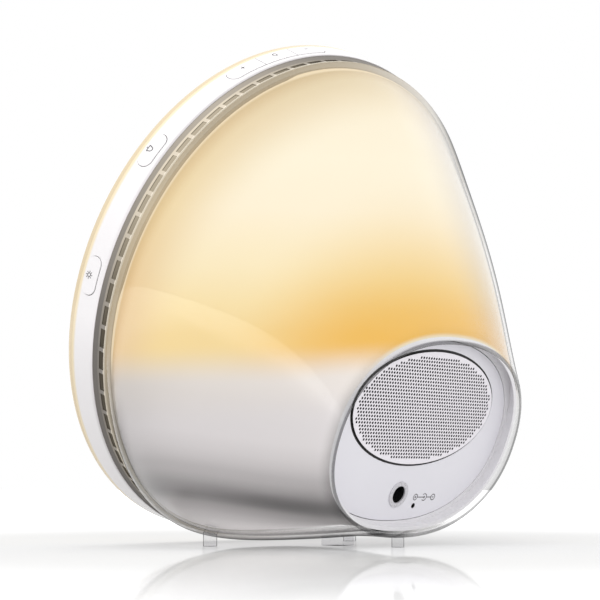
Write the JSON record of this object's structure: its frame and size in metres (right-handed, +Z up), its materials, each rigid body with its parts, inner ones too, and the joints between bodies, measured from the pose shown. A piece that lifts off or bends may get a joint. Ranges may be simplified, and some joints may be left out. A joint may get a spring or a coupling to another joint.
{
  "type": "sunrise alarm clock",
  "caption": "Bedside alarm clock with a round lit face, keys around the rim, a clear lofted rear housing over a glowing reflector, and an oval speaker pod with a power inlet.",
  "frame": {"origin": "middle of the footprint of the whole clock, on the surface it stands on", "axes": "+Z up, front face towards -Y, +X to the left of the display's reader and right of the rear panel's reader, the clock's middle plane is X = 0"},
  "size_m": [0.19, 0.1257, 0.1827],
  "materials": {
    "lens_milky": "milky, lit from behind",
    "ring_white": "gloss",
    "key_white": "gloss",
    "vent_grey": "satin",
    "clear_plastic": "clear, polished",
    "reflector_white": "satin white, lit from inside",
    "panel_grey": "satin",
    "gasket_black": "matte",
    "grille_paint": "satin paint",
    "bezel_bright": "bright",
    "jack_black": "matte",
    "pin_nickel": "plated",
    "diffuser_white": "translucent white",
    "board_green": "solder mask",
    "mask_black": "matte",
    "digits_amber": "lit",
    "led_yellow": "lit",
    "heat_sink_aluminium": "extruded",
    "chamber_black": "matte",
    "basket_paint": "matte paint",
    "magnet_iron": "plated",
    "cone_paper": "pulp",
    "coil_copper": "enamelled wire",
    "screw_steel": "plated",
    "foot_clear": "clear, polished"
  },
  "bodies": {
    "housing": {"front_lens": "lens_milky", "control_ring": "ring_white", "vent_ring": "vent_grey", "clear_shell": "clear_plastic", "reflector": "reflector_white", "rear_panel": "panel_grey", "grille_gasket": "gasket_black", "speaker_grille": "grille_paint", "jack_bezel": "bezel_bright", "dc_jack": "jack_black", "dc_jack_pin": "pin_nickel", "diffuser_disc": "diffuser_white", "display_board": "board_green", "display_mask": "mask_black", "display_digits": "digits_amber", "light_shelf": "reflector_white", "led_board": "diffuser_white", "leds": "led_yellow", "heat_sink": "heat_sink_aluminium", "speaker_chamber": "chamber_black", "speaker_basket": "basket_paint", "speaker_magnet": "magnet_iron", "speaker_surround": "gasket_black", "main_board": "board_green", "board_parts": "mask_black", "key_board_right": "board_green", "key_board_left": "board_green", "key_switches_right": "mask_black", "key_switches_left": "mask_black", "ring_screws": "screw_steel", "board_screws": "screw_steel", "shelf_screws": "screw_steel", "speaker_screws": "screw_steel", "front_feet": "foot_clear", "centre_foot": "foot_clear", "rear_foot": "foot_clear"},
    "right_key_1": {"key_right_1": "key_white"},
    "right_key_2": {"key_right_2": "key_white"},
    "right_key_3": {"key_right_3": "key_white"},
    "right_key_4": {"key_right_4": "key_white"},
    "right_key_5": {"key_right_5": "key_white"},
    "left_key_1": {"key_left_1": "key_white"},
    "left_key_2": {"key_left_2": "key_white"},
    "left_key_3": {"key_left_3": "key_white"},
    "left_key_4": {"key_left_4": "key_white"},
    "left_key_5": {"key_left_5": "key_white"},
    "cone": {"speaker_cone": "cone_paper", "voice_coil": "coil_copper"}
  },
  "joints": [
    {"name": "right_key_1_press", "type": "slide", "parent": "housing", "child": "right_key_1", "axis": [-0.2538, -0.3623, -0.8968], "range_m": [0, 0.0008], "stiffness_N_per_m": 800},
    {"name": "right_key_2_press", "type": "slide", "parent": "housing", "child": "right_key_2", "axis": [-0.4051, -0.3425, -0.8477], "range_m": [0, 0.0008], "stiffness_N_per_m": 800},
    {"name": "right_key_3_press", "type": "slide", "parent": "housing", "child": "right_key_3", "axis": [-0.5461, -0.3138, -0.7767], "range_m": [0, 0.0008], "stiffness_N_per_m": 800},
    {"name": "right_key_4_press", "type": "slide", "parent": "housing", "child": "right_key_4", "axis": [-0.8796, -0.1782, -0.441], "range_m": [0, 0.0008], "stiffness_N_per_m": 800},
    {"name": "right_key_5_press", "type": "slide", "parent": "housing", "child": "right_key_5", "axis": [-1, 0.0033, 0.0081], "range_m": [0, 0.0008], "stiffness_N_per_m": 800},
    {"name": "left_key_1_press", "type": "slide", "parent": "housing", "child": "left_key_1", "axis": [0.2538, -0.3623, -0.8968], "range_m": [0, 0.0008], "stiffness_N_per_m": 800},
    {"name": "left_key_2_press", "type": "slide", "parent": "housing", "child": "left_key_2", "axis": [0.4051, -0.3425, -0.8477], "range_m": [0, 0.0008], "stiffness_N_per_m": 800},
    {"name": "left_key_3_press", "type": "slide", "parent": "housing", "child": "left_key_3", "axis": [0.5461, -0.3138, -0.7767], "range_m": [0, 0.0008], "stiffness_N_per_m": 800},
    {"name": "left_key_4_press", "type": "slide", "parent": "housing", "child": "left_key_4", "axis": [0.8796, -0.1782, -0.441], "range_m": [0, 0.0008], "stiffness_N_per_m": 800},
    {"name": "left_key_5_press", "type": "slide", "parent": "housing", "child": "left_key_5", "axis": [1, 0.0033, 0.0081], "range_m": [0, 0.0008], "stiffness_N_per_m": 800},
    {"name": "cone_stroke", "type": "slide", "parent": "housing", "child": "cone", "axis": [0, 0.9272, -0.3746], "range_m": [-0.0006, 0.0006], "stiffness_N_per_m": 900}
  ]
}
